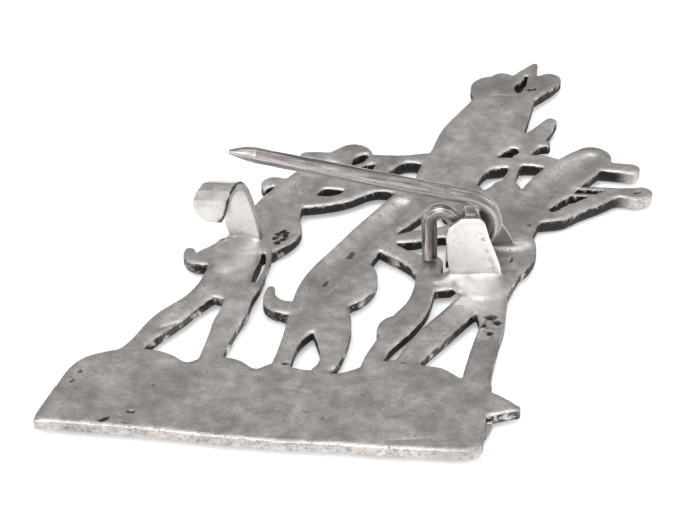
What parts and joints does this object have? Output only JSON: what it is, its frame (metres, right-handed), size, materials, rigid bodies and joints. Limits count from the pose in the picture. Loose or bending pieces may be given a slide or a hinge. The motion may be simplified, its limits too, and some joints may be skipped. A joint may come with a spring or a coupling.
{
  "type": "pilgrim badge",
  "caption": "Openwork cast pewter badge lying face down, with three striding figures, a litter and a crowned form, and a wire pin looped through a strap, with a hooked catch.",
  "frame": {"origin": "under the middle of the badge's outline, on the surface that its front lies on", "axes": "+X along the ground strip, +Y up the badge towards the crown, +Z out of the back towards the pin"},
  "size_m": [0.0576, 0.0666, 0.0162],
  "materials": {
    "cast_pewter": "cast and mottled, grey with dark recesses and bright solder",
    "drawn_wire": "drawn, with streaks along the wire"
  },
  "bodies": {
    "badge": {"badge_plate": "cast_pewter"},
    "pin": {"pin_wire": "drawn_wire"}
  },
  "joints": [
    {"name": "pin_swing", "type": "hinge", "parent": "badge", "child": "pin", "pos_m": [0.00724, -0.00427, 0.007], "axis": [-0.1184, 0.993, 0], "range_deg": [-12, 4], "stiffness_Nm_per_rad": 0.01}
  ]
}
